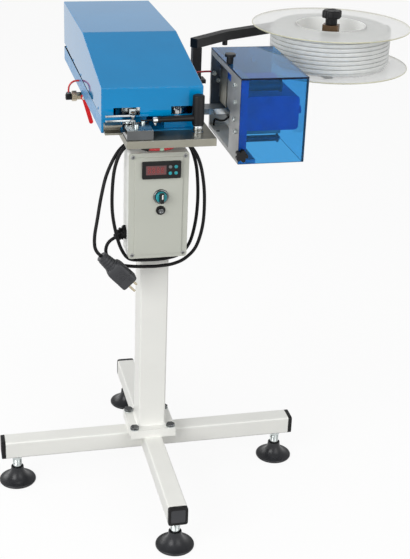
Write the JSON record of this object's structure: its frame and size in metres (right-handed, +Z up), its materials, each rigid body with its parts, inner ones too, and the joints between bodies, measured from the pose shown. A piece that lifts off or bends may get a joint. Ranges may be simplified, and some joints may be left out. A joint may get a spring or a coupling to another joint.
{
  "type": "bag clipping machine",
  "caption": "Pneumatic bag clipping machine on a footed column stand, with a sheet-metal head, a strip reel on an arm, a coder under a clear guard and a control box.",
  "frame": {"origin": "on the floor under the column's axis", "axes": "+X to the right along the work plate's front edge, +Y to the back, +Z up"},
  "size_m": [0.944, 0.795, 0.9846],
  "materials": {
    "white_paint": "powder coat, satin",
    "blue_paint": "powder coat, glossy",
    "black_paint": "powder coat, satin",
    "zinc": "zinc plated",
    "steel": "ground",
    "polished_steel": "polished",
    "aluminium": "machined",
    "cast_iron": "painted black",
    "black_plastic": "moulded",
    "black_rubber": "smooth",
    "grey_plastic": "moulded, light grey",
    "mid_grey_plastic": "moulded",
    "teal_plastic": "moulded",
    "red_plastic": "smooth",
    "blue_acrylic": "clear tinted sheet",
    "milky_plastic": "milky",
    "white_strip": "extruded",
    "bronze": "dull",
    "foil": "wound print foil"
  },
  "bodies": {
    "stand": {"leg_cross": "white_paint", "leg_caps": "black_plastic", "base_flange": "white_paint", "stand_bolts": "zinc", "column": "white_paint", "column_head": "white_paint", "work_plate": "steel", "body_tray": "blue_paint", "hood": "blue_paint", "cover_screws": "zinc", "air_cylinder": "aluminium", "ram_guide": "steel", "feed_unit": "cast_iron", "valve_block": "aluminium", "die_block": "polished_steel", "die_screws": "zinc", "bag_guides": "aluminium", "arm_post": "zinc", "valve_body": "zinc", "valve_elbow": "black_plastic", "air_hoses": "red_plastic", "control_case": "grey_plastic", "control_lid": "grey_plastic", "display_module": "black_plastic", "selector_bezel": "polished_steel", "button_ring": "black_plastic", "cable_gland": "black_plastic", "mains_cord": "black_rubber", "mains_plug": "black_rubber", "reel_arm": "black_paint", "reel_spindle": "steel", "reel_spacer": "bronze", "coder_frame": "aluminium", "coder_cable": "black_rubber", "guard": "blue_acrylic"},
    "foot_front": {"foot_front": "black_plastic"},
    "foot_right": {"foot_right": "black_plastic"},
    "foot_back": {"foot_back": "black_plastic"},
    "foot_left": {"foot_left": "black_plastic"},
    "ram": {"closing_ram": "polished_steel"},
    "drive_roller": {"drive_roller": "polished_steel"},
    "pinch_roller": {"pinch_roller": "polished_steel"},
    "trigger": {"trigger_finger": "polished_steel"},
    "feeler": {"arm_sleeve": "black_plastic", "feeler_arm": "black_plastic"},
    "valve_lever": {"valve_lever": "red_plastic"},
    "key_1": {"display_key_1": "teal_plastic"},
    "key_2": {"display_key_2": "mid_grey_plastic"},
    "key_3": {"display_key_3": "teal_plastic"},
    "key_4": {"display_key_4": "teal_plastic"},
    "selector": {"selector_knob": "black_plastic"},
    "button": {"push_button": "mid_grey_plastic"},
    "reel": {"reel_spool": "milky_plastic", "clip_strip": "white_strip"},
    "reel_knob": {"reel_knob": "black_plastic"},
    "print_head": {"print_head": "aluminium"},
    "foil_supply": {"foil_supply": "foil"},
    "foil_takeup": {"foil_takeup": "foil"},
    "guard_front_knob": {"guard_front_knob": "black_plastic"},
    "guard_top_knob": {"guard_top_knob": "black_plastic"}
  },
  "joints": [
    {"name": "foot_front_turn", "type": "hinge", "parent": "stand", "child": "foot_front", "pos_m": [0, -0.295, 0.04], "axis": [0, 0, 1], "continuous": true},
    {"name": "foot_right_turn", "type": "hinge", "parent": "stand", "child": "foot_right", "pos_m": [0.295, 0, 0.04], "axis": [0, 0, 1], "continuous": true},
    {"name": "foot_back_turn", "type": "hinge", "parent": "stand", "child": "foot_back", "pos_m": [0, 0.295, 0.04], "axis": [0, 0, 1], "continuous": true},
    {"name": "foot_left_turn", "type": "hinge", "parent": "stand", "child": "foot_left", "pos_m": [-0.295, 0, 0.04], "axis": [0, 0, 1], "continuous": true},
    {"name": "ram_slide", "type": "slide", "parent": "stand", "child": "ram", "axis": [0, -1, 0], "range_m": [0, 0.024]},
    {"name": "drive_roller_spin", "type": "hinge", "parent": "stand", "child": "drive_roller", "pos_m": [0.028, -0.078, 0.863], "axis": [0, 0, 1], "continuous": true},
    {"name": "pinch_roller_spin", "type": "hinge", "parent": "stand", "child": "pinch_roller", "pos_m": [0.028, -0.051, 0.863], "axis": [0, 0, 1], "continuous": true},
    {"name": "trigger_press", "type": "hinge", "parent": "stand", "child": "trigger", "pos_m": [-0.066, -0.122, 0.867], "axis": [0, 0, -1], "range_deg": [0, 8], "stiffness_Nm_per_rad": 0.3},
    {"name": "feeler_swing", "type": "hinge", "parent": "stand", "child": "feeler", "pos_m": [0.059, -0.1265, 0.875], "axis": [0, 0, -1], "range_deg": [0, 8], "stiffness_Nm_per_rad": 0.5},
    {"name": "valve_lever_turn", "type": "hinge", "parent": "stand", "child": "valve_lever", "pos_m": [-0.116, 0.1922, 0.814], "axis": [0, 1, 0], "range_deg": [0, 90]},
    {"name": "key_1_press", "type": "slide", "parent": "stand", "child": "key_1", "axis": [0, 1, 0], "range_m": [0, 0.001], "stiffness_N_per_m": 400},
    {"name": "key_2_press", "type": "slide", "parent": "stand", "child": "key_2", "axis": [0, 1, 0], "range_m": [0, 0.001], "stiffness_N_per_m": 400},
    {"name": "key_3_press", "type": "slide", "parent": "stand", "child": "key_3", "axis": [0, 1, 0], "range_m": [0, 0.001], "stiffness_N_per_m": 400},
    {"name": "key_4_press", "type": "slide", "parent": "stand", "child": "key_4", "axis": [0, 1, 0], "range_m": [0, 0.001], "stiffness_N_per_m": 400},
    {"name": "selector_turn", "type": "hinge", "parent": "stand", "child": "selector", "pos_m": [-0.003, -0.1, 0.69], "axis": [0, 1, 0], "range_deg": [-45, 45]},
    {"name": "button_press", "type": "slide", "parent": "stand", "child": "button", "axis": [0, 1, 0], "range_m": [0, 0.0025], "stiffness_N_per_m": 300},
    {"name": "reel_spin", "type": "hinge", "parent": "stand", "child": "reel", "pos_m": [0.435, 0.225, 0.91], "axis": [0, 0, 1], "continuous": true},
    {"name": "reel_knob_turn", "type": "hinge", "parent": "stand", "child": "reel_knob", "pos_m": [0.435, 0.225, 0.97], "axis": [0, 0, 1], "continuous": true},
    {"name": "print_slide", "type": "slide", "parent": "stand", "child": "print_head", "axis": [0, 0, -1], "range_m": [0, 0.008], "stiffness_N_per_m": 2000, "springref_m": -0.03},
    {"name": "foil_supply_spin", "type": "hinge", "parent": "stand", "child": "foil_supply", "pos_m": [0.19, -0.088, 0.907], "axis": [1, 0, 0], "continuous": true},
    {"name": "foil_takeup_spin", "type": "hinge", "parent": "stand", "child": "foil_takeup", "pos_m": [0.19, -0.088, 0.801], "axis": [1, 0, 0], "continuous": true},
    {"name": "guard_front_knob_turn", "type": "hinge", "parent": "stand", "child": "guard_front_knob", "pos_m": [0.146, -0.135, 0.782], "axis": [0, -1, 0], "continuous": true},
    {"name": "guard_top_knob_turn", "type": "hinge", "parent": "stand", "child": "guard_top_knob", "pos_m": [0.146, -0.015, 0.94], "axis": [0, 0, 1], "continuous": true}
  ],
  "couplings": [
    {"joint": "pinch_roller_spin", "follows": "drive_roller_spin", "ratio": -1}
  ]
}
